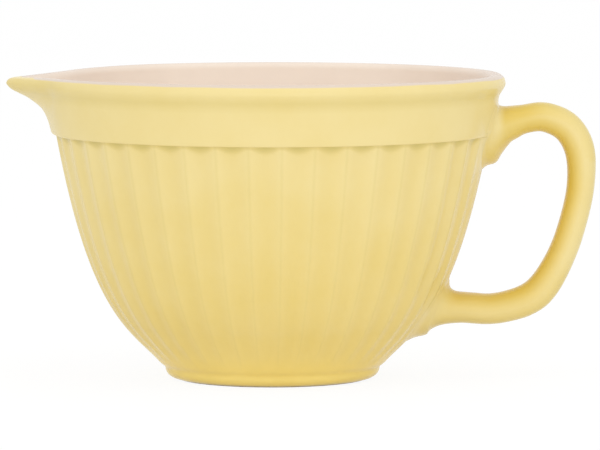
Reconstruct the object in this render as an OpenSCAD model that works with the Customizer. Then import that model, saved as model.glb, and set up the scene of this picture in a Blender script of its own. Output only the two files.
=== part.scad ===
// Batter bowl with a fluted wall, a pouring lip and a loop handle.
// The foot stands on z = 0 with the bowl's axis at the origin.
// The handle is on +X and the pouring lip on -X.

/* [Bowl] */
// Height of the rim's crest above the table
bowl_h = 125; // [105:1:160]
// Outer radius of the rolled rim
rim_r = 95.4; // [88:0.2:112]
// Thickness of the wall
wall_t = 5; // [3.5:0.25:7]
// Thickness of the floor
floor_t = 6; // [4:0.25:9]

/* [Foot] */
// Outer radius of the foot
foot_r = 44; // [36:0.2:56]
// Height of the plain band below the flutes
foot_band_h = 7; // [5.5:0.5:11]
// How far the plain band flares out from the foot
foot_flare = 2.6; // [1:0.2:5]
// Radius of the foot's rounded lower edge
foot_round = 4.5; // [2:0.25:5]
// Width of the foot ring
foot_ring_w = 5; // [3:0.5:10]
// Height of the flat land, ground on the foot ring, that the bowl stands on
foot_land_h = 0.4; // [0.2:0.1:0.8]
// Depth of the hollow inside the foot ring
foot_recess = 3; // [1.5:0.25:5]

/* [Flutes] */
// Number of flutes round the wall
flute_count = 42; // [28:2:60]
// Depth of a flute below its ridges, just under the collar
flute_depth = 1.1; // [0.4:0.1:2]

/* [Collar and rim] */
// Height of the plain collar and the rim together
collar_h = 24.5; // [18:0.5:34]
// How far the wall's ridges lie inside the rim where they meet the collar
shoulder_in = 6.6; // [5:0.1:12]
// How far the collar stands out over the ridges
collar_step = 1.15; // [0.6:0.05:2.5]
// How far the neck under the rim is drawn in
neck_in = 2.8; // [1:0.1:4]
// Height of the rolled rim above its neck
bead_h = 10.1; // [7:0.1:13]
// Thickness of the rolled rim
rim_t = 6.5; // [4.5:0.25:8]

/* [Pouring lip] */
// How far the lip's tip stands out past the rim
lip_reach = 13.6; // [6:0.1:20]
// Half the width over which the rim is drawn out into the lip
lip_half_w = 33; // [24:1:42]
// How far the lip's tip is drawn down
lip_drop = 1; // [0:0.1:3]
// How far the rim dips on its way to the lip
rim_dip = 0.8; // [0:0.1:2.5]

/* [Handle] */
// How far the handle stands out past the rim
handle_out = 36.7; // [28:0.1:50]
// Thickness of the grip, seen from the side
grip_t = 11.5; // [9:0.5:16]
// Width of the grip, across the handle
grip_w = 17; // [12:0.5:24]
// Depth of the middle of the upper arm below the rim's crest
upper_arm_depth = 18; // [15:0.5:26]
// Height of the middle of the lower arm
lower_arm_h = 28.7; // [24:0.1:40]
// Height of the upper arm's flared pad
upper_pad_h = 24.5; // [19:0.5:30]
// Width of the upper arm's flared pad
upper_pad_w = 35; // [26:1:44]
// How proud of the wall the upper pad's lower edge stands
upper_pad_edge = 5; // [2:0.2:7]
// Height of the lower arm's flared pad
lower_pad_h = 23; // [19:0.5:30]
// Width of the lower arm's flared pad
lower_pad_w = 31; // [24:1:40]
// How proud of the wall the lower pad's lower edge stands
lower_pad_edge = 5.6; // [2:0.2:8]

/* [Slip joints] */
// Width of the slip that is wiped round each pad
slip_w = 2.25; // [1.5:0.25:4]

/* [Glaze] */
// Thickness of the liner glaze inside the bowl
glaze_t = 0.5; // [0.3:0.05:1]

/* [Hidden] */

// The flutes are cut below one smooth curve through their ridges
facets_per_flute = 4;
flute_section_shares = [0, 0.72, 1, 0.72];
steps = flute_count * facets_per_flute;

// Radii and heights of the outer form, from the foot up
foot_inner_r = foot_r - foot_round - foot_ring_w;
land_inset = foot_ring_w / 10;
wall_foot_r = foot_r + foot_flare;
shoulder_r = rim_r - shoulder_in;
collar_z = bowl_h - collar_h;
collar_r = shoulder_r + collar_step;
collar_soft_edge = collar_step / 3;
neck_r = rim_r - neck_in;
neck_z = bowl_h - bead_h;
bead_middle_share = 0.37;
bead_z = bowl_h - bead_h * bead_middle_share;
crest_r = rim_r - rim_t / 2;
wall_curve_shares = [[0, 0], [0.301, 0.146], [0.677, 0.208], [1, 1]];

// Radii and heights of the inner form
floor_corner_share = 1.6;
shoulder_wall_share = 1.02;
floor_z = foot_recess + floor_t;
floor_r = wall_foot_r - wall_t * floor_corner_share;
inner_shoulder_r = shoulder_r - wall_t * shoulder_wall_share;
inner_curve_shares = [[0, 0], [0.602, 0.171], [0.804, 0.5], [1, 1]];

// A cubic curve through four points
function cubic(p, t) =
    pow(1 - t, 3) * p[0] + 3 * pow(1 - t, 2) * t * p[1]
    + 3 * (1 - t) * t * t * p[2] + pow(t, 3) * p[3];

// Four control points, placed by shares of the way from one corner to the other
function placed(from, to, shares) =
    [for (s = shares) [from[0] + (to[0] - from[0]) * s[0], from[1] + (to[1] - from[1]) * s[1]]];

function mix(a, b, share) = a + (b - a) * share;
function clamped(v) = min(1, max(0, v));
function eased(t) = t * t * (3 - 2 * t);

wall_curve = placed([wall_foot_r, foot_band_h], [shoulder_r, collar_z], wall_curve_shares);
inner_curve = placed([floor_r, floor_z], [inner_shoulder_r, collar_z], inner_curve_shares);

// A station is a ring round the bowl: radius, height, flute depth share,
// lip share, lip width share, lip drop share, rim dip share and the ring's spacing
FULL = 0;
LIP = 1;
PLAIN = 2;
function plain_station(r, z) = [r, z, 0, 0, 1, 0, 0, PLAIN];

band_swell_share = 0.55;
band_rise_share = 0.6;
foot_stations = [
    plain_station(foot_inner_r - foot_recess, foot_recess),
    plain_station(foot_inner_r, foot_land_h),
    for (a = [0, 30, 60, 90])
        plain_station(foot_r - foot_round * (1 - sin(a)), mix(foot_land_h, foot_round, 1 - cos(a))),
    plain_station(foot_r + foot_flare * band_swell_share, mix(foot_round, foot_band_h, band_rise_share))
];

// The flutes fade in above the foot's band and run out under the collar
flute_fade_share = 0.2;
flute_end_share = 0.45;
wall_shares = [0, 0.1, 0.22, 0.36, 0.51, 0.66, 0.81, 0.93, 0.985, 1];
fluted_stations = [
    for (t = wall_shares)
        let (p = cubic(wall_curve, t), deep = clamped(t / flute_fade_share) * p[0] / shoulder_r)
            [p[0], p[1], t == 1 ? deep * flute_end_share : deep, 0, 1, 0, 0, FULL]
];

// Lip shares and lip widths up the collar, from its lower edge to the neck
collar_edge_share = 0.75;
collar_shares = [[0, 0.05, 0.45], [0.36, 0.085, 0.51], [0.7, 0.2, 0.63], [1, 0.53, 0.775]];
collar_stations = [
    [
        mix(shoulder_r, collar_r, collar_edge_share), collar_z + collar_soft_edge / 10,
        0, 0.01, collar_shares[0][2], 0, 0, FULL
    ],
    for (s = collar_shares)
        let (low = collar_z + collar_soft_edge)
            [mix(collar_r, neck_r, s[0]), mix(low, neck_z, s[0]), 0, s[1], s[2], 0, 0, LIP]
];

// The rolled rim: height, lip and lip width shares from the neck to the bead, then round
// its top an angle with the shares of the lip, its width, its drop and, last, the rim's dip
rim_under_shares = [[0.28, 0.74, 0.86], [0.55, 0.91, 0.94], [0.8, 0.975, 0.98]];
rim_top_shares = [
    [0, 1, 1, 0], [35, 0.96, 1, 0.1], [65, 0.89, 1, 0.3], [90, 0.82, 1, 0.6],
    [120, 0.78, 1, 1], [150, 0.73, 1, 1.5], [180, 0.68, 0.97, 2.2]
];
rim_stations = [
    for (s = rim_under_shares)
        [mix(neck_r, rim_r, eased(s[0])), mix(neck_z, bead_z, s[0]), 0, s[1], s[2], 0, 0, LIP],
    for (s = rim_top_shares)
        [
            crest_r + rim_t / 2 * cos(s[0]), bead_z + (bowl_h - bead_z) * sin(s[0]),
            0, s[1], s[2], s[3], clamped(s[0] / 60) * clamped((240 - s[0]) / 120), LIP
        ]
];

// The inner wall above the shoulder follows the collar, and below it its own curve
inner_top_shares = [[0.72, 0.52, 0.9, 2.5], [0.46, 0.34, 0.8, 2.4], [0.2, 0.17, 0.66, 1.8]];
inner_top_r = rim_r - rim_t;
inner_stations = [
    for (s = inner_top_shares)
        [
            mix(inner_shoulder_r, inner_top_r, s[0]), mix(collar_z, bead_z, s[0]),
            0, s[1], s[2], s[3], 0, LIP
        ],
    [inner_shoulder_r, collar_z, 0, 0.04, 0.5, 0.6, 0, LIP],
    for (t = [0.86, 0.72, 0.57, 0.43, 0.3, 0.18, 0.08, 0])
        let (p = cubic(inner_curve, t)) plain_station(p[0], p[1])
];

// Which of the steps round the bowl each spacing keeps
function near_lip(i) = abs(i - steps / 2) <= steps * 0.072;
ring_steps = [
    [for (i = [0:steps - 1]) i],
    [for (i = [0:steps - 1]) if (i % 2 == 0 || near_lip(i)) i],
    [for (i = [0:steps - 1]) if (i % 3 == 0) i]
];
// For each step, the last kept step at or before it
ring_ranks = [
    for (kept = ring_steps) [for (i = [0:steps]) len([for (k = kept) if (k <= i) k]) - 1]
];

// The handle's pads: height of the middle, half height, half width, +1 where the handle's
// outer side is the upper one, and how proud the lower edge stands
upper_arm_h = bowl_h - upper_arm_depth;
pad_hang_share = 0.276;
pads = [
    [upper_arm_h - upper_pad_h * pad_hang_share, upper_pad_h / 2, upper_pad_w / 2, 1, upper_pad_edge],
    [lower_arm_h, lower_pad_h / 2, lower_pad_w / 2, -1, lower_pad_edge]
];

// The flutes are filled under the pads, out to this share of a pad's size
pad_fill_share = 1.3;
function pad_cover(pad, y, z) =
    clamped((pad_fill_share - norm([y / pad[2], (z - pad[0]) / pad[1]])) / (pad_fill_share - 1));
function flute_left(angle, y, z) =
    cos(angle) < 0 ? 1 : 1 - max([for (pad = pads) pad_cover(pad, y, z)]);

// The lip is drawn out to a narrow rounded beak with hollow flanks
lip_tip_softness = 0.06;
lip_flank_power = 1.6;
function lip_form(y, half_w) =
    let (t = abs(y) / half_w, soft = lip_tip_softness)
        t >= 1 ? 0 : pow(1 - (norm([t, soft]) - soft) / (norm([1, soft]) - soft), lip_flank_power);

// The rim dips gently over this angle to either side of the lip
dip_half_angle = 60;
function dip_form(angle) =
    let (off = abs(angle - 180) / dip_half_angle)
        off >= 1 ? 0 : 0.5 + 0.5 * cos(180 * off);

function ring_point(s, i, inset = 0) =
    let (
        angle = 360 * i / steps,
        flute = flute_depth * s[2] * flute_section_shares[i % facets_per_flute],
        y_flat = s[0] * sin(angle),
        r = s[0] - inset - flute * flute_left(angle, y_flat, s[1]),
        lip = cos(angle) < 0 ? lip_form(y_flat, lip_half_w * s[4]) : 0
    )
        [
            r * cos(angle) - lip_reach * s[3] * lip,
            r * sin(angle),
            s[1] - lip_drop * s[5] * lip - rim_dip * s[6] * dip_form(angle)
        ];

function ring(s, inset = 0) = [for (i = ring_steps[s[7]]) ring_point(s, i, inset)];

// Offsets of each ring's first point in the list of all points
function starts(stations, k = 0, at = 0) =
    k == len(stations) ? [at]
    : concat([at], starts(stations, k + 1, at + len(ring_steps[stations[k][7]])));

// Triangles between two rings, whatever their spacing
function band(a, a_start, b, b_start) =
    let (ra = ring_ranks[a], rb = ring_ranks[b], na = len(ring_steps[a]), nb = len(ring_steps[b]))
        [
            for (i = [1:steps])
                let (
                    a0 = ra[i - 1], b0 = rb[i - 1],
                    a_goes = i == steps || ra[i] > a0, b_goes = i == steps || rb[i] > b0,
                    a1 = a_goes ? (a0 + 1) % na : a0
                )
                    for (tri = [
                        if (a_goes) [a_start + a0, a_start + a1, b_start + b0],
                        if (b_goes) [a_start + a1, b_start + (b0 + 1) % nb, b_start + b0]
                    ]) tri
        ];

// A fan from a ring to its middle point
function fan(kind, start, middle, flip) =
    let (n = len(ring_steps[kind]))
        [
            for (k = [0:n - 1])
                flip ? [start + (k + 1) % n, start + k, middle] : [start + k, start + (k + 1) % n, middle]
        ];

function flipped(faces) = [for (f = faces) [f[0], f[2], f[1]]];

outer_stations = concat(foot_stations, fluted_stations, collar_stations, rim_stations);
body_stations = concat(outer_stations, inner_stations);

module bowl_body() {
    at = starts(body_stations);
    last = len(body_stations) - 1;
    points = [
        for (s = body_stations) each ring(s),
        [0, 0, foot_recess],
        [0, 0, floor_z]
    ];
    underside = at[last + 1];
    faces = [
        each fan(body_stations[0][7], at[0], underside, true),
        for (k = [0:last - 1])
            each band(body_stations[k][7], at[k], body_stations[k + 1][7], at[k + 1]),
        each fan(body_stations[last][7], at[last], underside + 1, false)
    ];
    color([0.945, 0.867, 0.6])
        union() {
            polyhedron(points = points, faces = flipped(faces), convexity = 8);
            foot_land();
        }
}

// The land is one flat ring, a little narrower than the foot ring that carries it
module foot_land() {
    rotate_extrude($fn = 120)
        translate([foot_inner_r + land_inset, 0])
            square([foot_ring_w - 2 * land_inset, foot_land_h * 3]);
}

// The liner glaze covers the inner wall and the lip's channel
glaze_stations = concat([rim_stations[len(rim_stations) - 1]], inner_stations);

// One station moved off the wall, into the bowl, by the glaze's thickness
function glazed(k) =
    let (
        s = glaze_stations[k],
        last = len(glaze_stations) - 1,
        before = glaze_stations[max(0, k - 1)],
        after = glaze_stations[min(last, k + 1)],
        way = [after[0] - before[0], after[1] - before[1]],
        unit = k == last ? [-1, 0] : way / norm(way)
    )
        k == 0 ? [s[0] - glaze_t, s[1], each [for (j = [2:7]) s[j]]]
        : [s[0] + unit[1] * glaze_t, s[1] - unit[0] * glaze_t, each [for (j = [2:7]) s[j]]];

module inside_glaze() {
    skin = [for (k = [0:len(glaze_stations) - 1]) glazed(k)];
    all_rings = concat([for (k = [len(skin) - 1:-1:0]) skin[k]], glaze_stations);
    at = starts(all_rings);
    last = len(all_rings) - 1;
    points = [
        for (s = all_rings) each ring(s),
        [0, 0, floor_z + glaze_t],
        [0, 0, floor_z]
    ];
    middle = at[last + 1];
    faces = [
        each fan(all_rings[0][7], at[0], middle, true),
        for (k = [0:last - 1]) each band(all_rings[k][7], at[k], all_rings[k + 1][7], at[k + 1]),
        each fan(all_rings[last][7], at[last], middle + 1, false)
    ];
    color([0.925, 0.845, 0.78])
        polyhedron(points = points, faces = faces, convexity = 8);
}

// The wall's ridge line as pairs of height and radius, and bridging the collar's step
seat_line = [
    for (s = outer_stations) if (s[1] >= foot_band_h && s[1] < collar_z - collar_soft_edge) [s[1], s[0]],
    for (k = [1:len(collar_stations) - 1]) [collar_stations[k][1], collar_stations[k][0]]
];
function wall_r(z) = lookup(z, seat_line);

section_sides = 20;
section_squareness = 0.88;
function rounded(v) = sign(v) * pow(abs(v), section_squareness);
function section(k) = let (a = 360 * k / section_sides) [rounded(cos(a)), rounded(sin(a))];

// A point of a pad's outline, laid on the wall and stood off it
seat_gap = glaze_t / 10;
function seated(pad, y, z, off) = [sqrt(pow(wall_r(z), 2) - y * y) + off, y, z];
function pad_point(pad, k, share, off, grow = 0) =
    let (c = section(k))
        seated(pad, c[0] * (pad[2] * share + grow), pad[0] + pad[3] * c[1] * (pad[1] * share + grow), off);

// A pad's edge is thick at its lower end and thin at its top
edge_top_share = 0.16;
edge_power = 1.5;
edge_narrowing = 0.96;
function lowness(pad, k) = 0.5 - 0.5 * pad[3] * section(k)[1];
function edge_point(pad, k) =
    pad_point(pad, k, edge_narrowing, pad[4] * mix(edge_top_share, 1, pow(lowness(pad, k), edge_power)));

// The handle's middle line, as shares of the way out from the pad it starts at and
// of the way up from the lower arm to the upper one, with thickness and width shares
grip_x = rim_r + handle_out - grip_t / 2;
spine_shares = [
    [0, 0.23, 0.972, 1.22, 1.3], [0, 0.38, 0.991, 1.03, 1.12], [0, 0.6, 1.001, 1.05, 1.05],
    [0, 0.884, 0.948, 1.11, 1], [0, 1.014, 0.744, 1, 1], [1, 0.97, 0.51, 0.98, 1],
    [1, 0.869, 0.272, 1.01, 1], [1, 0.7, 0.067, 1.14, 1.04], [1, 0.44, -0.002, 1.09, 1.1],
    [1, 0.2, 0.002, 1.1, 1.24]
];
spine = [
    for (s = spine_shares)
        [
            mix(wall_r(pads[s[0]][0]), grip_x, s[1]), mix(lower_arm_h, upper_arm_h, s[2]),
            grip_t * s[3], grip_w * s[4]
        ]
];
spine_last = len(spine) - 1;
function spine_at(i) =
    i < 0 ? 2 * spine[0] - spine[1]
    : i > spine_last ? 2 * spine[spine_last] - spine[spine_last - 1] : spine[i];

// A smooth line through the spine's points, and its direction
function spine_point(u) =
    let (
        i = min(floor(u), spine_last - 1), t = u - i,
        a = spine_at(i - 1), b = spine_at(i), c = spine_at(i + 1), d = spine_at(i + 2)
    )
        0.5 * (2 * b + (c - a) * t + (2 * a - 5 * b + 4 * c - d) * t * t
            + (3 * b - a - 3 * c + d) * pow(t, 3));
function spine_way(u) =
    let (
        back = spine_point(max(0, u - 0.01)), on = spine_point(min(spine_last, u + 0.01)),
        way = [on[0] - back[0], on[1] - back[1]]
    )
        way / norm(way);

function arm_point(u, k) =
    let (p = spine_point(u), way = spine_way(u), c = section(k))
        [p[0] - way[1] * c[1] * p[2] / 2, c[0] * p[3] / 2, p[1] + way[0] * c[1] * p[2] / 2];

// Between a pad's edge and its arm the surface sweeps in along the wall and then out
turn_top_share = 0.45;
turn_low_shares = [1.7, 0.8];
function flare_point(n, k, t) =
    let (
        pad = pads[n],
        edge = edge_point(pad, k),
        arm = arm_point(n == 0 ? 0 : spine_last, k),
        off = pad[4] * mix(turn_top_share, turn_low_shares[n], lowness(pad, k)),
        turn = seated(pad, arm[1], arm[2], off)
    )
        pow(1 - t, 2) * edge + 2 * t * (1 - t) * turn + t * t * arm;

pad_rings = [0.34, 0.67, 1];
flare_steps = [0.2, 0.42, 0.68];
rings_per_stretch = 2;
handle_rings = [
    for (share = pad_rings) [for (k = [0:section_sides - 1]) pad_point(pads[0], k, share, seat_gap)],
    [for (k = [0:section_sides - 1]) edge_point(pads[0], k)],
    for (t = flare_steps) [for (k = [0:section_sides - 1]) flare_point(0, k, t)],
    for (u = [0:1 / rings_per_stretch:spine_last]) [for (k = [0:section_sides - 1]) arm_point(u, k)],
    for (j = [len(flare_steps) - 1:-1:0])
        [for (k = [0:section_sides - 1]) flare_point(1, k, flare_steps[j])],
    [for (k = [0:section_sides - 1]) edge_point(pads[1], k)],
    for (j = [len(pad_rings) - 1:-1:0])
        [for (k = [0:section_sides - 1]) pad_point(pads[1], k, pad_rings[j], seat_gap)]
];

// Triangles between two rings of a section, and from a ring to a middle point
function hoop(from, to) = [
    for (k = [0:section_sides - 1])
        let (next = (k + 1) % section_sides)
            for (tri = [[from + k, to + k, to + next], [from + k, to + next, from + next]]) tri
];
function disc(from, middle, flip) = [
    for (k = [0:section_sides - 1])
        let (next = (k + 1) % section_sides)
            flip ? [from + next, middle, from + k] : [from + k, middle, from + next]
];

module handle() {
    count = len(handle_rings);
    points = [
        for (r = handle_rings) each r,
        seated(pads[0], 0, pads[0][0], seat_gap),
        seated(pads[1], 0, pads[1][0], seat_gap)
    ];
    middle = count * section_sides;
    faces = [
        each disc(0, middle, true),
        for (j = [0:count - 2]) each hoop(j * section_sides, (j + 1) * section_sides),
        each disc((count - 1) * section_sides, middle + 1, false)
    ];
    color([0.95, 0.86, 0.57])
        polyhedron(points = points, faces = flipped(faces), convexity = 6);
}

// Slip wiped into the corner between a pad's edge and the wall, with a hollow face
slip_hollow_share = 0.35;
module slip_joint(n) {
    corner = [for (k = [0:section_sides - 1]) pad_point(pads[n], k, 1, seat_gap)];
    on_pad = [for (k = [0:section_sides - 1]) edge_point(pads[n], k)];
    on_wall = [for (k = [0:section_sides - 1]) pad_point(pads[n], k, 1, seat_gap, slip_w)];
    face = [
        for (k = [0:section_sides - 1])
            mix((on_pad[k] + on_wall[k]) / 2, corner[k], slip_hollow_share)
    ];
    loops = [corner, on_pad, face, on_wall];
    points = [for (l = loops) each l];
    faces = [
        for (j = [0:len(loops) - 1])
            each hoop(j * section_sides, ((j + 1) % len(loops)) * section_sides)
    ];
    color([0.93, 0.84, 0.55])
        polyhedron(points = points, faces = n == 0 ? faces : flipped(faces), convexity = 6);
}

module upper_slip_joint() {
    slip_joint(0);
}

module lower_slip_joint() {
    slip_joint(1);
}

bowl_body();
inside_glaze();
handle();
upper_slip_joint();
lower_slip_joint();
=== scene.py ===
import math

import bpy
import numpy as np
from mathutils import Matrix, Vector


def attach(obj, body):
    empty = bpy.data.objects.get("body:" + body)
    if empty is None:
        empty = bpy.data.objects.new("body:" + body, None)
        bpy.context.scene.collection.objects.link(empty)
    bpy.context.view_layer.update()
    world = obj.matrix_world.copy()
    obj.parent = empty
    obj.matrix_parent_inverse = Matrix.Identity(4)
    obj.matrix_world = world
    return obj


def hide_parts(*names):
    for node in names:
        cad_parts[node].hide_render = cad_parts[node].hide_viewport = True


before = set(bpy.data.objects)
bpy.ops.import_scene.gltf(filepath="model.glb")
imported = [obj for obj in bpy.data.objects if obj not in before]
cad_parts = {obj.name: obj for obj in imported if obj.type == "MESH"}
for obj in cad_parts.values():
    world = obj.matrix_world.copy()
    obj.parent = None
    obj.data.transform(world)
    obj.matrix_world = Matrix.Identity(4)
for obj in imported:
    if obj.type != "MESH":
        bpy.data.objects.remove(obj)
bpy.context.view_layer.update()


# The bowl is one cast earthenware wall: a foot, 42 flutes, a plain collar and a rolled
# rim that is drawn out into a pouring lip. It is dipped in a pale lemon-yellow glaze, and
# only the land that it stands on is wiped bare before firing.
mm = 0.001
flutes = 42
steps_per_flute = 14
flute_depth = 1
flute_turn = math.radians(-1.57)
rim_r, bowl_h, rim_t = 95.4, 124.95, 6.5
foot_r, foot_round, recess = 44, 4.5, 3
land_in_r, land_out_r, land_h = 35, 39, 0.4
wall_foot_r, band_h = 46.6, 7
shoulder_r, collar_z, collar_r = 88.8, 100.5, 89.95
neck_r, neck_z, bead_z = 92.6, 114.9, 121.263
lip_reach, lip_half_w, lip_drop = 13.6, 33, 1
rim_dip, dip_half_angle = 0.8, 60
inner_shoulder_r, floor_r, floor_z = 83.7, 38.6, 9
wall_shares = ((0, 0), (0.301, 0.146), (0.677, 0.208), (1, 1))
inner_shares = ((0, 0), (0.602, 0.171), (0.804, 0.5), (1, 1))
fade_in_share, run_out_h, run_out_share = 0.2, 2.2, 0.45

# The two pads of the handle, round which slip fills the flutes. A pad's side is 1 where the
# arm's outer side is the upper one. Its edge is how proud of the wall its lower edge stands,
# and its turn is how far out it bends into the arm, as a share of that edge
upper_pad = dict(z=100.238, half_h=12.25, half_w=17.5, side=1, edge=5, turn=1.7)
lower_pad = dict(z=28.7, half_h=11.5, half_w=15.5, side=-1, edge=5.6, turn=0.8)


def mix(a, b, share):
    return a + (b - a) * share


def clamped(v):
    return np.clip(v, 0, 1)


def eased(t):
    return t * t * (3 - 2 * t)


def bezier(corner_a, corner_b, shares, t):
    p = [mix(np.array(corner_a, float), np.array(corner_b, float), np.array(s)) for s in shares]
    return (1 - t) ** 3 * p[0] + 3 * (1 - t) ** 2 * t * p[1] + 3 * (1 - t) * t * t * p[2] + t ** 3 * p[3]


def smooth_rows(rows, parts):
    """Catmull-Rom rows through the given ones, with that many parts to each stretch."""
    rows = np.array(rows, float)
    ends = np.concatenate([[2 * rows[0] - rows[1]], rows, [2 * rows[-1] - rows[-2]]])
    out = []
    for i in range(1, len(rows)):
        a, b, c, d = ends[i - 1:i + 3]
        for t in np.arange(parts) / parts:
            out.append(0.5 * (2 * b + (c - a) * t + (2 * a - 5 * b + 4 * c - d) * t * t
                              + (3 * b - a - 3 * c + d) * t ** 3))
    return out + [rows[-1]]


def wall_row(t):
    """A ring of the wall. Its flutes fade in above the foot and run out under the collar."""
    r, z = bezier((wall_foot_r, band_h), (shoulder_r, collar_z), wall_shares, t)
    fade_in = clamped(t / fade_in_share) ** 1.3
    run_out = mix(run_out_share, 1, clamped((collar_z - z) / run_out_h) ** 0.6)
    return r, z, fade_in * run_out * r / shoulder_r, 0, 1, 0, 0


# A row is a ring round the bowl: its radius and height, its shares of the flutes' depth, of
# the lip's reach, width and drop and of the rim's dip, and how far outside the rim's crest
# it lies, along the wall
RADIUS, HEIGHT, FLUTE, REACH, WIDTH, DROP, DIP, OUTSIDE = range(8)
underside = [
    (0, recess), (12, recess), (24, recess), (30.6, recess), (31.6, recess - 0.15), (32.6, recess - 0.95),
    (34.1, 0.62), (34.6, 0.44),
    (land_in_r - 0.04, land_h), (land_in_r, land_h - 0.05), (land_in_r + 0.06, 0.06), (land_in_r + 0.2, 0),
    (land_out_r - 0.2, 0), (land_out_r - 0.06, 0.06), (land_out_r, land_h - 0.05),
    (land_out_r + 0.04, land_h),
]
foot_edge = [
    (foot_r - foot_round * (1 - math.sin(a)), mix(land_h, foot_round, 1 - math.cos(a)))
    for a in np.radians(np.linspace(6, 90, 9))
]
band = smooth_rows([(foot_r, foot_round), (44.5, 5.25), (45.43, 6), (46.05, 6.5)], 2)[1:]
plain = [(r, z, 0, 0, 1, 0, 0) for r, z in underside + foot_edge + [tuple(p) for p in band]]
wall_tops = (0.95, 0.96, 0.968, 0.975, 0.981, 0.986, 0.99, 0.993, 0.996, 0.998, 1)
wall = [wall_row(t) for t in (*np.linspace(0, 0.938, 30), *wall_tops)]
collar_edge = [
    (89.1, 100.4, 0.3, 0, 0.45, 0, 0), (89.42, 100.42, 0.1, 0, 0.45, 0, 0),
    (89.7, 100.58, 0, 0.02, 0.45, 0, 0), (89.87, 100.76, 0, 0.04, 0.45, 0, 0),
]
collar_shares = ((0.01, 0.05, 0.45), (0.36, 0.085, 0.51), (0.7, 0.2, 0.63), (1, 0.53, 0.775))
collar = [
    (mix(collar_r, neck_r, s), mix(collar_z + 0.383, neck_z, s), 0, lip, width, 0, 0)
    for s, lip, width in collar_shares
]
rim = [
    (mix(neck_r, rim_r, eased(s)), mix(neck_z, bead_z, s), 0, lip, width, 0, 0)
    for s, lip, width in ((0.28, 0.74, 0.86), (0.55, 0.91, 0.94), (0.8, 0.975, 0.98))
]

# Round the rim's top: degrees from its outside, and the lip's reach, width and drop there
rim_top = (
    (0, 1, 1, 0), (35, 0.96, 1, 0.1), (65, 0.89, 1, 0.3), (90, 0.82, 1, 0.6), (120, 0.78, 1, 1),
    (150, 0.73, 1, 1.5), (180, 0.68, 0.97, 2.2),
)
for degrees, lip, width, drop in rim_top:
    a = math.radians(degrees)
    dip = min(1, degrees / 60) * min(1, (240 - degrees) / 120)
    rim.append((rim_r - rim_t / 2 * (1 - math.cos(a)), mix(bead_z, bowl_h, math.sin(a)),
                0, lip, width, drop, dip))
inner_top = [
    (mix(inner_shoulder_r, rim_r - rim_t, s), mix(collar_z, bead_z, s), 0, lip, width, drop, 0)
    for s, lip, width, drop in ((0.72, 0.52, 0.9, 2.5), (0.46, 0.34, 0.8, 2.4), (0.2, 0.17, 0.66, 1.8))
]
inner_wall = [(inner_shoulder_r, collar_z, 0, 0.04, 0.5, 0.6, 0)]
for t in (0.86, 0.72, 0.57, 0.43, 0.3, 0.18, 0.08, 0):
    r, z = bezier((floor_r, floor_z), (inner_shoulder_r, collar_z), inner_shares, t)
    inner_wall.append((r, z, 0, 0, 1, 0, 0))
collar_and_rim = [tuple(r) for r in smooth_rows(collar + rim, 3)]
inside = [tuple(r) for r in smooth_rows([rim[-1]] + inner_top + inner_wall, 2)][1:]
floor_rows = [(r, floor_z, 0, 0, 1, 0, 0) for r in (37.2, 30, 15, 0)]
body_rows = np.array(plain + wall + collar_edge + collar_and_rim + inside + floor_rows)
crest = int(np.argmax(body_rows[:, HEIGHT]))
steps = np.linalg.norm(np.diff(body_rows[:, :2], axis=0), axis=1)
along = np.concatenate([[0], np.cumsum(steps)])
body_rows = np.column_stack([body_rows, along[crest] - along])

ridge_line = np.array([(z, r) for r, z, *_ in wall if z < collar_z - 0.4]
                      + [(r[1], r[0]) for r in collar_and_rim[:13]])


def wall_r(z):
    return np.interp(z, ridge_line[:, 0], ridge_line[:, 1])


def bridged_r(z):
    """The wall's radius, with the step under the collar filled by a straight slope of slip."""
    low, high = collar_z - 13.5, collar_z + 1
    slope = wall_r(low) + (z - low) / (high - low) * (wall_r(high) - wall_r(low))
    return np.where((z > low) & (z < high), np.maximum(slope, wall_r(z)), wall_r(z))


def turned(name, rows, steps):
    """A closed shell, spun from a profile that is extruded point by point."""
    bpy.ops.object.select_all(action="DESELECT")
    bpy.ops.mesh.primitive_plane_add(size=mm, location=(0, 0, 0))
    shell = bpy.context.object
    shell.name = shell.data.name = name
    bpy.ops.object.mode_set(mode="EDIT")
    bpy.ops.mesh.select_all(action="SELECT")
    bpy.ops.mesh.merge(type="CENTER")
    bpy.ops.transform.translate(value=(rows[0][0] * mm, 0, rows[0][1] * mm))
    for before, row in zip(rows[:-1], rows[1:]):
        step = ((row[0] - before[0]) * mm, 0, (row[1] - before[1]) * mm)
        bpy.ops.mesh.extrude_vertices_move(TRANSFORM_OT_translate={"value": step})
    bpy.ops.mesh.select_all(action="SELECT")
    bpy.ops.mesh.spin(steps=steps, angle=2 * math.pi, center=(0, 0, 0), axis=(0, 0, 1))
    bpy.ops.mesh.select_all(action="SELECT")
    bpy.ops.mesh.remove_doubles(threshold=mm / 200)
    bpy.ops.mesh.normals_make_consistent(inside=False)
    bpy.ops.object.mode_set(mode="OBJECT")
    return shell


def points_of(piece):
    co = np.empty(len(piece.data.vertices) * 3)
    piece.data.vertices.foreach_get("co", co)
    return co.reshape(-1, 3) / mm


def set_points(piece, points):
    piece.data.vertices.foreach_set("co", (points * mm).ravel())
    piece.data.update()


def set_mask(piece, name, values):
    held = piece.data.attributes.new(name, "FLOAT", "POINT")
    held.data.foreach_set("value", np.asarray(values, np.float32))


def smoothed(piece):
    for face in piece.data.polygons:
        face.use_smooth = True


def nearest_rows(points, rows):
    """The row that each point of a spun shell came from."""
    r = np.hypot(points[:, 0], points[:, 1])
    found = np.empty(len(points), int)
    batch = 20000
    for start in range(0, len(points), batch):
        part = slice(start, start + batch)
        off_r = r[part, None] - rows[None, :, RADIUS]
        off_z = points[part, 2][:, None] - rows[None, :, HEIGHT]
        found[part] = (off_r ** 2 + off_z ** 2).argmin(axis=1)
    return found


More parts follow.
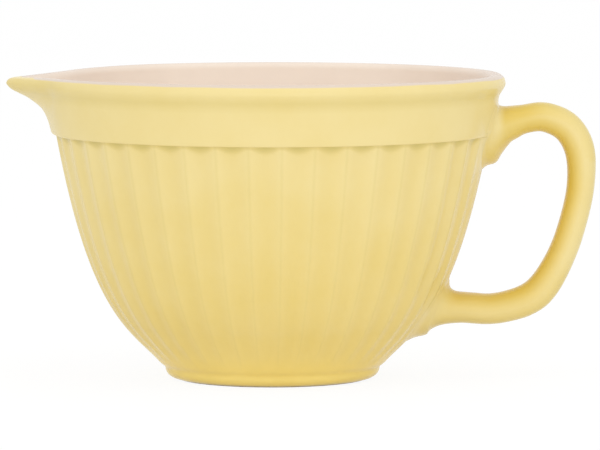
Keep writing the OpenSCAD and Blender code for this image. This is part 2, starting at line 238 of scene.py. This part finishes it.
def lip_form(y, half_w):
    """The lip narrows to a rounded beak with hollow flanks."""
    t, soft = np.abs(y) / half_w, 0.06
    return clamped(1 - (np.hypot(t, soft) - soft) / (math.hypot(1, soft) - soft)) ** 1.6


def flute_form(angle):
    """0 on a ridge, where the glaze rounds the edge off, and 1 in the middle of a channel."""
    across = np.abs(((angle - flute_turn) * flutes / (2 * math.pi) + 0.5) % 1 - 0.5) * 2
    soft = 0.34
    return 1 - (1 - (np.hypot(across, soft) - soft) / (math.hypot(1, soft) - soft)) ** 2


def pad_cover(pad, y, z):
    """1 where the slip round a pad fills the flutes, fading to 0 outside it."""
    spread, reach, fade = 5, 1.35, 0.22
    return clamped((reach - np.hypot(y / (pad["half_w"] + spread), (z - pad["z"]) / pad["half_h"])) / fade)


def slip_fill(x, y):
    """1 where slip fills the step under the collar, behind the handle's upper pad."""
    half_w, fade = 31, 10
    return clamped((half_w - np.abs(y)) / fade) * (x > 0)


def drawn(points, rows):
    """Cuts the flutes into a spun shell, draws out its lip and dips its rim."""
    row = rows[nearest_rows(points, rows)]
    angle = np.arctan2(points[:, 1], points[:, 0]) + flute_turn
    z = row[:, HEIGHT]
    y_flat = row[:, RADIUS] * np.sin(angle)
    cover = np.maximum(pad_cover(upper_pad, y_flat, z), pad_cover(lower_pad, y_flat, z))
    channel = row[:, FLUTE] * flute_form(angle) * np.where(points[:, 0] > 0, 1 - cover, 1)
    r = row[:, RADIUS] - flute_depth * channel
    filled = slip_fill(points[:, 0], y_flat) * (row[:, OUTSIDE] > 0)
    r = mix(r, np.where(bridged_r(z) > wall_r(z), bridged_r(z), r), filled)
    lip = np.where(points[:, 0] < 0, lip_form(y_flat, lip_half_w * row[:, WIDTH]), 0)
    off = np.abs(np.degrees(np.pi - np.abs(angle))) / dip_half_angle
    dip = np.where(off < 1, 0.5 + 0.5 * np.cos(np.pi * off), 0)
    moved = np.stack([
        r * np.cos(angle) - lip_reach * row[:, REACH] * lip,
        r * np.sin(angle),
        z - lip_drop * row[:, DROP] * lip - rim_dip * row[:, DIP] * dip,
    ], axis=1)
    return moved, channel, row


bowl = turned("bowl", body_rows, flutes * steps_per_flute)
bowl_points, channel, row = drawn(points_of(bowl), body_rows)
set_points(bowl, bowl_points)
set_mask(bowl, "channel", channel)
set_mask(bowl, "fluted", row[:, FLUTE])

# Painted shadow, partly pooled glaze: under the collar's edge, in a lens at the top of each flute
row_z, outside = row[:, HEIGHT], row[:, OUTSIDE]
lens_drop, lens_half_h, lens_in_flute = 0.6, 0.8, 2.1
in_flute = flute_form(np.arctan2(bowl_points[:, 1], bowl_points[:, 0])) * clamped(channel * 4)
below_collar = np.where(outside > 15, collar_z - row_z, 99)
under_collar = clamped(1 - np.abs(below_collar - lens_drop) / (lens_half_h + lens_in_flute * in_flute))
under_collar *= mix(0.5, 1, in_flute)
under_collar *= 1 - slip_fill(bowl_points[:, 0], bowl_points[:, 1])

# Painted shade in the neck and under the lip, where the bead and the lip overhang, and deeper at the
# rim's end by the handle. The wall is painted paler high up, as painted sheen, and deepest low on it. Places
# are in mm
neck_shade_z, neck_shade_half_h = neck_z + 2.8, 4
in_neck = np.where(outside > 0, clamped(1 - np.abs(row_z - neck_shade_z) / neck_shade_half_h), 0)
under_lip = clamped((-82 - bowl_points[:, 0]) / 7) * (row_z > 90) * clamped(outside - 2)
rim_end = clamped((bowl_points[:, 0] - 84) / 8) * clamped(3.5 - np.abs(outside))
sheen_fall_at = ((3, 0), (8, 0.05), (22, 0.28), (44, 0.25), (75, 0.09), (99, 0))
sheen_fall = np.interp(row_z, *zip(*sheen_fall_at))
set_mask(bowl, "groove_shade", 0.9 * under_collar + 0.26 * in_neck + 0.12 * under_lip)
set_mask(bowl, "pooled_and_shaded", sheen_fall + 0.25 * under_collar + 0.1 * in_neck + 0.09 * channel
         + 0.15 * under_lip + 0.25 * rim_end)
# Painted light: the wall just above the foot is lighter and brighter yellow, where the white table throws
# light up on it
lit_foot_at = ((8, 1), (14, 0.5), (24, 0))
set_mask(bowl, "foot", np.interp(row_z, *zip(*lit_foot_at)))


def lap_of(points, row):
    """How far inside the edge of the liner glaze, which laps over the rim, a point lies, in mm."""
    turn = np.degrees(np.arctan2(points[:, 1], points[:, 0]))
    at_tip = np.where(turn < 0, clamped((-turn - 169.4) / 4.6), clamped((turn - 177) / 2))
    at_handle = clamped(1 - np.abs(turn) / 50)
    over_rim = 2.3 + 0.7 * at_handle - 2.9 * at_tip
    return over_rim - row[:, OUTSIDE]


set_mask(bowl, "lap", lap_of(bowl_points, row))
smoothed(bowl)


def math_node(tree, operation, a, b=0.0, clamp=False):
    new = tree.nodes.new("ShaderNodeMath")
    new.operation, new.use_clamp = operation, clamp
    for socket, value in zip(new.inputs, (a, b)):
        if isinstance(value, (int, float)):
            socket.default_value = value
        else:
            tree.links.new(value, socket)
    return new.outputs[0]


def colour_mix(tree, share, a, b):
    new = tree.nodes.new("ShaderNodeMix")
    new.data_type = "RGBA"
    for socket, value in zip((new.inputs[0], new.inputs[6], new.inputs[7]), (share, a, b)):
        if isinstance(value, bpy.types.NodeSocket):
            tree.links.new(value, socket)
        else:
            socket.default_value = value
    return new.outputs[2]


def noise(tree, where, size_mm, detail=2.0, rough=0.5):
    """Noise with lumps of about that size."""
    new = tree.nodes.new("ShaderNodeTexNoise")
    new.inputs["Scale"].default_value = 1 / (size_mm * mm)
    new.inputs["Detail"].default_value = detail
    new.inputs["Roughness"].default_value = rough
    tree.links.new(where, new.inputs["Vector"])
    return new.outputs["Fac"]


def glaze_group():
    """Fired glaze: thin over edges and pooled in hollows, colours that also paint shade, faintly clouded,
    with a rippled skin.
    """
    group = bpy.data.node_groups.new("fired_glaze", "ShaderNodeTree")
    for name, kind in (("Place", "Vector"), ("Glaze", "Color"), ("Edge And Shade Colour", "Color"), ("Pool And Shade Colour", "Color"),
                       ("Edge And Shade Share", "Float"), ("Pool And Shade Share", "Float"), ("Gloss", "Float")):
        group.interface.new_socket(name, in_out="INPUT", socket_type="NodeSocket" + kind)
    for name, kind in (("Colour", "Color"), ("Roughness", "Float"), ("Height", "Float")):
        group.interface.new_socket(name, in_out="OUTPUT", socket_type="NodeSocket" + kind)
    given = group.nodes.new("NodeGroupInput").outputs
    out = group.nodes.new("NodeGroupOutput").inputs
    cloud = noise(group, given["Place"], 22, 3)
    fleck = noise(group, given["Place"], 3.5, 2)
    ripple = noise(group, given["Place"], 6, 1)
    peel = noise(group, given["Place"], 1.1, 1)
    drift = math_node(group, "MULTIPLY", math_node(group, "SUBTRACT", cloud, 0.4), 0.3)
    grain = math_node(group, "MULTIPLY", math_node(group, "SUBTRACT", fleck, 0.5), 0.06)
    pooled_and_shaded = math_node(group, "ADD", math_node(group, "ADD", drift, grain), given["Pool And Shade Share"], True)
    colour = colour_mix(group, pooled_and_shaded, given["Glaze"], given["Pool And Shade Colour"])
    colour = colour_mix(group, given["Edge And Shade Share"], colour, given["Edge And Shade Colour"])
    uneven = math_node(group, "MULTIPLY", math_node(group, "SUBTRACT", cloud, 0.5), 0.14)
    rough = math_node(group, "ADD", given["Gloss"], uneven, True)
    height = math_node(group, "ADD", math_node(group, "MULTIPLY", ripple, 0.7),
                       math_node(group, "MULTIPLY", peel, 0.12))
    group.links.new(colour, out["Colour"])
    group.links.new(rough, out["Roughness"])
    group.links.new(height, out["Height"])
    return group


fired_glaze = glaze_group()
# The edge and pool colours are the glaze where it is thin or pooled, and also serve as painted shade; the
# foot colour is painted light
lemon = (0.882, 0.732, 0.342, 1)
lemon_lit_foot = (1.0, 0.8, 0.275, 1)
lemon_edge_and_shade = (0.66, 0.55, 0.20, 1)
lemon_pool_and_shade = (0.75, 0.53, 0.06, 1)
cream_rim = (0.77, 0.655, 0.55, 1)
cream_pool_and_shade = (0.72, 0.57, 0.46, 1)
bare_clay = (0.72, 0.60, 0.46, 1)
clay_pits = (0.60, 0.48, 0.35, 1)
wiped_h = 0.33
coat_weight = 0.02


def glazed(name, glaze, edge, pool_and_shade, gloss):
    """A glazed finish, whose edge and pool colours can also paint shade. Returns the material, its shader,
    the glaze node and its place output.
    """
    finish = bpy.data.materials.new(name)
    finish.use_nodes = True
    tree = finish.node_tree
    shader = tree.nodes["Principled BSDF"]
    shader.inputs["IOR"].default_value = 1.28
    shader.inputs["Specular IOR Level"].default_value = 0.25
    shader.inputs["Coat Weight"].default_value = coat_weight
    shader.inputs["Coat Roughness"].default_value = 0.08
    place = tree.nodes.new("ShaderNodeTexCoord").outputs["Object"]
    glass = tree.nodes.new("ShaderNodeGroup")
    glass.node_tree = fired_glaze
    glass.inputs["Glaze"].default_value = glaze
    glass.inputs["Edge And Shade Colour"].default_value = edge
    glass.inputs["Pool And Shade Colour"].default_value = pool_and_shade
    glass.inputs["Gloss"].default_value = gloss
    tree.links.new(place, glass.inputs["Place"])
    skin = tree.nodes.new("ShaderNodeBump")
    skin.inputs["Strength"].default_value = 0.18
    skin.inputs["Distance"].default_value = 0.25 * mm
    tree.links.new(glass.outputs["Height"], skin.inputs["Height"])
    tree.links.new(skin.outputs["Normal"], shader.inputs["Normal"])
    tree.links.new(glass.outputs["Colour"], shader.inputs["Base Color"])
    tree.links.new(glass.outputs["Roughness"], shader.inputs["Roughness"])
    return finish, shader, glass, place


def mask(tree, name):
    new = tree.nodes.new("ShaderNodeAttribute")
    new.attribute_name = name
    return new.outputs["Fac"]


def lap_share(tree, place):
    """1 inside the wavering edge of the liner glaze and 0 outside it."""
    wave_mm, wave_depth_mm, edge_per_mm = 18, 0.8, 2.5
    wave = math_node(tree, "SUBTRACT", noise(tree, place, wave_mm), 0.5)
    inside_edge = math_node(tree, "ADD", mask(tree, "lap"), math_node(tree, "MULTIPLY", wave, wave_depth_mm))
    return math_node(tree, "ADD", math_node(tree, "MULTIPLY", inside_edge, edge_per_mm), 0.5, True)


lemon_glaze, shader, glass, place = glazed("lemon_glaze", lemon, lemon_edge_and_shade, lemon_pool_and_shade, 0.24)
tree = lemon_glaze.node_tree
in_channel, fluted = mask(tree, "channel"), mask(tree, "fluted")
# The ridges are a touch darker, and the groove mask paints shade under the collar, in the neck and under the
# lip
near_ridge = math_node(tree, "SUBTRACT", fluted, math_node(tree, "MULTIPLY", in_channel, 12.0), True)
darker = math_node(tree, "ADD", math_node(tree, "MULTIPLY", near_ridge, 0.2), mask(tree, "groove_shade"), True)
tree.links.new(darker, glass.inputs["Edge And Shade Share"])
lined = lap_share(tree, place)
yellow = colour_mix(tree, mask(tree, "foot"), lemon, lemon_lit_foot)
tree.links.new(colour_mix(tree, lined, yellow, cream_rim), glass.inputs["Glaze"])
tree.links.new(colour_mix(tree, lined, lemon_pool_and_shade, cream_pool_and_shade), glass.inputs["Pool And Shade Colour"])
tree.links.new(mask(tree, "pooled_and_shaded"), glass.inputs["Pool And Shade Share"])
split = tree.nodes.new("ShaderNodeSeparateXYZ")
tree.links.new(place, split.inputs[0])
wiped = math_node(tree, "LESS_THAN", split.outputs["Z"], wiped_h * mm)
clay = colour_mix(tree, noise(tree, place, 0.8, 3, 0.7), bare_clay, clay_pits)
tree.links.new(colour_mix(tree, wiped, glass.outputs["Colour"], clay), shader.inputs["Base Color"])
clay_rough = math_node(tree, "MULTIPLY", wiped, 0.85)
rougher = math_node(tree, "MAXIMUM", clay_rough, glass.outputs["Roughness"])
tree.links.new(rougher, shader.inputs["Roughness"])
coat = math_node(tree, "MULTIPLY", math_node(tree, "SUBTRACT", 1.0, wiped), coat_weight)
tree.links.new(coat, shader.inputs["Coat Weight"])
bowl.data.materials.append(lemon_glaze)
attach(bowl, "root")
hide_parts("bowl_body")


# The inside is lined with a pale cream glaze that is poured in and swilled round. It runs
# up to the crest of the rim, where it thins out over the edge of the yellow.
liner_t, sunk, taper = 0.3, 0.25, 2.5
liner_steps_per_flute = 8
cream = (0.92, 0.805, 0.695, 1)
front = body_rows[crest:].copy()
way = np.gradient(front[:, :2], axis=0)
normal = np.stack([way[:, 1], -way[:, 0]], axis=1) / np.linalg.norm(way, axis=1)[:, None]
thick = liner_t * clamped(-front[:, OUTSIDE] / taper) ** 0.7
skin = front.copy()
skin[:, :2] += normal * thick[:, None]
skin[-1, RADIUS] = 0
back = front.copy()
back[:, :2] -= normal * sunk
back[-1, RADIUS] = 0
liner_rows = np.concatenate([skin[::-1], back])
liner = turned("liner", liner_rows, flutes * liner_steps_per_flute)
liner_points, _, row = drawn(points_of(liner), liner_rows)
set_points(liner, liner_points)
set_mask(liner, "lap", lap_of(liner_points, row))
# The liner is painted deeper towards its floor and at its crest, and at both ends of the bowl, which is
# painted shade in the hollow
to_floor = clamped((34 - row[:, HEIGHT]) / 60)
to_crest = clamped(1 + row[:, OUTSIDE] / 2)
to_end = clamped((np.abs(liner_points[:, 0]) - 40) / 35) + clamped((liner_points[:, 0] - 82) / 8)
set_mask(liner, "pooled_and_shaded", 0.4 * to_floor + 0.6 * to_crest + 0.25 * to_end)
smoothed(liner)

cream_glaze, _, glass, place = glazed("cream_glaze", cream, lemon, cream_pool_and_shade, 0.22)
tree = cream_glaze.node_tree
tree.links.new(math_node(tree, "SUBTRACT", 1.0, lap_share(tree, place)), glass.inputs["Edge And Shade Share"])
tree.links.new(mask(tree, "pooled_and_shaded"), glass.inputs["Pool And Shade Share"])
liner.data.materials.append(cream_glaze)
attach(liner, "root")
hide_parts("inside_glaze")


# The handle is a loop of the same clay, cast apart. Its two ends spread into pads that are
# luted on with slip, and the slip is wiped into a soft hollow round each pad before glazing.
sides = 48
grip_t, grip_w, squareness = 11.5, 17, 0.88
handle_out = 36.6
grip_x = rim_r + handle_out - grip_t / 2
slip_w, feather, slip_hollow = 2.25, 3, 0.3
lower_arm_h, upper_arm_h = 28.7, 107

# A point of the spine: the pad that it starts from, its shares of the way out to the grip
# and up to the upper arm, and its thickness and width as shares of the grip's
spine_shares = (
    (0, 0.23, 0.972, 1.22, 1.3), (0, 0.38, 0.991, 1.03, 1.12), (0, 0.6, 1.001, 1.05, 1.05),
    (0, 0.84, 0.951, 1.09, 1), (0, 0.982, 0.842, 1.08, 1), (0, 1.009, 0.69, 1, 1),
    (1, 0.97, 0.51, 0.98, 1), (1, 0.869, 0.272, 1.01, 1), (1, 0.7, 0.072, 1.12, 1.04),
    (1, 0.44, -0.002, 1.09, 1.1), (1, 0.2, 0.002, 1.1, 1.24),
)
pads = (upper_pad, lower_pad)
spine = [
    (mix(wall_r(pads[n]["z"]), grip_x, out), mix(lower_arm_h, upper_arm_h, up),
     grip_t * thick, grip_w * wide)
    for n, out, up, thick, wide in spine_shares
]
around = 2 * math.pi * np.arange(sides) / sides
across = np.sign(np.cos(around)) * np.abs(np.cos(around)) ** squareness
upward = np.sign(np.sin(around)) * np.abs(np.sin(around)) ** squareness


def seated(y, z, off, on=bridged_r):
    """Points that stand that far off the wall."""
    return np.stack([np.sqrt(on(z) ** 2 - y * y) + off, y, z], axis=1)


def pad_ring(pad, share, off, grow=0.0, on=bridged_r):
    """A ring of the pad's outline on the wall. The slip is feathered out further at its sides."""
    return seated(across * (pad["half_w"] * share + grow * feather),
                  pad["z"] + pad["side"] * upward * (pad["half_h"] * share + grow), off, on)


def pad_rings(pad, arm):
    """From inside the wall over the wiped slip and the pad's edge to its arm."""
    low = 0.5 - 0.5 * pad["side"] * upward
    edge = pad_ring(pad, 0.96, pad["edge"] * mix(0.16, 1, low ** 2.2))
    on_wall = pad_ring(pad, 1, -0.12, slip_w, wall_r)
    corner = pad_ring(pad, 1, 0.05)
    slip = mix((edge + on_wall) / 2, corner, slip_hollow)
    turn = seated(arm[:, 1], arm[:, 2], pad["edge"] * mix(0.45, pad["turn"], low))
    flare = [(1 - t) ** 2 * edge + 2 * t * (1 - t) * turn + t * t * arm for t in (0.2, 0.42, 0.68)]
    inside_wall = [pad_ring(pad, 0.5, -1.5), pad_ring(pad, 1, -1.2, slip_w * 0.8, wall_r)]
    return inside_wall + [on_wall, slip, edge] + flare


# Each point of the smoothed spine carries a ring square to its heading
line = np.array(smooth_rows(spine, 3))
heading = np.gradient(line[:, :2], axis=0)
heading /= np.linalg.norm(heading, axis=1)[:, None]
arms = [
    np.stack([p[0] - h[1] * upward * p[2] / 2, across * p[3] / 2, p[1] + h[0] * upward * p[2] / 2], axis=1)
    for p, h in zip(line, heading)
]
lower_rings = pad_rings(lower_pad, arms[-1])[::-1]
rings = pad_rings(upper_pad, arms[0]) + arms + lower_rings
rings = np.array(smooth_rows(np.array(rings).reshape(len(rings), -1), 3)).reshape(-1, sides, 3)

# The loop is a disc that is extruded once for each ring, and each ring is then laid in its place
bpy.ops.object.select_all(action="DESELECT")
bpy.ops.mesh.primitive_circle_add(vertices=sides, radius=1, location=(0, 0, 0))
handle = bpy.context.object
handle.name = handle.data.name = "handle_loop"
bpy.ops.object.mode_set(mode="EDIT")
bpy.ops.mesh.select_all(action="SELECT")
bpy.ops.mesh.edge_face_add()
for _ in range(len(rings) - 1):
    bpy.ops.mesh.extrude_region_move(TRANSFORM_OT_translate={"value": (0, 0, 1)})
bpy.ops.object.mode_set(mode="OBJECT")
tube = points_of(handle) * mm
ring_at = np.rint(tube[:, 2]).astype(int)
side_at = np.rint(np.arctan2(tube[:, 1], tube[:, 0]) * sides / (2 * math.pi)).astype(int) % sides
set_points(handle, rings[ring_at, side_at])
bpy.ops.object.mode_set(mode="EDIT")
bpy.ops.mesh.select_all(action="SELECT")
bpy.ops.mesh.normals_make_consistent(inside=False)
bpy.ops.object.mode_set(mode="OBJECT")
smoothed(handle)

# Painted shade and painted yellow reflection from the bowl, partly pooled glaze: deeper on the loop's inner
# side, on the lower arm, on top by the upper pad and behind it. The outer side is painted darker, as shade.
# Places are in mm
at_x, at_z = points_of(handle)[:, 0], points_of(handle)[:, 2]
up = upward[side_at]
from_end = np.minimum(ring_at, len(rings) - 1 - ring_at)
by_upper_pad = mix(0.7, 1, clamped((at_x - 93) / 12))
by_lower_pad = mix(0.3, 1, clamped((at_x - 66) / 10))
inner_side = clamped(0.1 - up) ** 0.8 * np.where(at_z > 70, by_upper_pad, by_lower_pad)
behind_pad = clamped((at_x - 92.5) / 2.5) * clamped((119 - at_x) / 18) * (at_z > 90) * clamped(0.8 + up)
on_top_at = ((92, 0), (95, 0.5), (106, 0.5), (124, 0.2))
on_top = np.interp(at_x, *zip(*on_top_at)) * (at_z > 90) * clamped(up) ** 0.8
beneath = clamped(0.3 + up) * clamped((52 - at_z) / 14)
outer_side = clamped((up - 0.4) / 0.6) * clamped(from_end / 9 - 1)
set_mask(handle, "pooled_and_shaded", 0.8 * inner_side + 0.4 * behind_pad + on_top + 0.3 * beneath)
set_mask(handle, "thin", outer_side * (0.16 + 0.14 * (at_z < 45) + 0.2 * on_top))

handle_glaze, _, glass, _ = glazed("handle_glaze", lemon, lemon_edge_and_shade, lemon_pool_and_shade, 0.22)
tree = handle_glaze.node_tree
tree.links.new(mask(tree, "pooled_and_shaded"), glass.inputs["Pool And Shade Share"])
tree.links.new(mask(tree, "thin"), glass.inputs["Edge And Shade Share"])
handle.data.materials.append(handle_glaze)
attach(handle, "root")
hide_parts("handle", "upper_slip_joint", "lower_slip_joint")


# The bowl stands on a white table in a light tent: one broad soft lamp above it, one in
# front of it, and white all round. What the lens and the gloss of the glaze see of the tent
# is plain white, and the light that it sheds on the bowl is a little weaker.
def looked_at(tree):
    """1 for what the lens, a reflection or clear glass looks at, and 0 for what only lights."""
    ray = tree.nodes.new("ShaderNodeLightPath").outputs
    through = math_node(tree, "MAXIMUM", ray["Is Glossy Ray"], ray["Is Transmission Ray"])
    return math_node(tree, "MAXIMUM", ray["Is Camera Ray"], through)


bpy.ops.object.select_all(action="DESELECT")
bpy.ops.mesh.primitive_plane_add(size=40, location=(0, 0, 0))
table = bpy.context.object
table.name = "table_top"
paper = bpy.data.materials.new("white_paper")
paper.use_nodes = True
tree = paper.node_tree
sheet = tree.nodes["Principled BSDF"]
sheet.inputs["Base Color"].default_value = (0.96, 0.96, 0.96, 1)
sheet.inputs["Roughness"].default_value = 0.9
sheet.inputs["Specular IOR Level"].default_value = 0.0
glow = tree.nodes.new("ShaderNodeEmission")
glow.inputs["Strength"].default_value = 1.02
blend = tree.nodes.new("ShaderNodeMixShader")
tree.links.new(math_node(tree, "MULTIPLY", looked_at(tree), 0.9), blend.inputs[0])
tree.links.new(sheet.outputs[0], blend.inputs[1])
tree.links.new(glow.outputs[0], blend.inputs[2])
tree.links.new(blend.outputs[0], tree.nodes["Material Output"].inputs["Surface"])
table.data.materials.append(paper)

world = bpy.data.worlds.new("light_tent")
world.use_nodes = True
tree = world.node_tree
tent_light = 0.83
air = tree.nodes["Background"]
air.inputs["Color"].default_value = (1, 1, 1, 1)
seen_more = math_node(tree, "MULTIPLY", looked_at(tree), 1 - tent_light)
tree.links.new(math_node(tree, "ADD", seen_more, tent_light), air.inputs["Strength"])
bpy.context.scene.world = world


def soft_light(name, place, width, height, power):
    """A broad lamp that faces the middle of the bowl."""
    lamp = bpy.data.lights.new(name, "AREA")
    lamp.shape, lamp.size, lamp.size_y, lamp.energy = "RECTANGLE", width, height, power
    holder = bpy.data.objects.new(name, lamp)
    bpy.context.collection.objects.link(holder)
    holder.location = place
    holder.rotation_euler = (Vector((0, 0, 0.05)) - Vector(place)).to_track_quat("-Z", "Y").to_euler()


soft_light("top_light", (0.1, -0.3, 1.3), 0.9, 0.9, 2.5)
soft_light("front_light", (0.2, -2.4, 0.45), 1.6, 1.0, 9)

# The camera was fitted to the circles of the rim, the collar and the foot in the photograph
looks_down = 0.08046
lens = bpy.data.cameras.new("lens")
lens.sensor_width, lens.lens = 36, 322.79
camera = bpy.data.objects.new("camera", lens)
bpy.context.collection.objects.link(camera)
camera.location = (0.01129, -2.2, 0.24011)
camera.rotation_euler = (math.pi / 2 - looks_down, 0, 0)
bpy.context.scene.camera = camera
bpy.context.scene.view_settings.view_transform = "Standard"
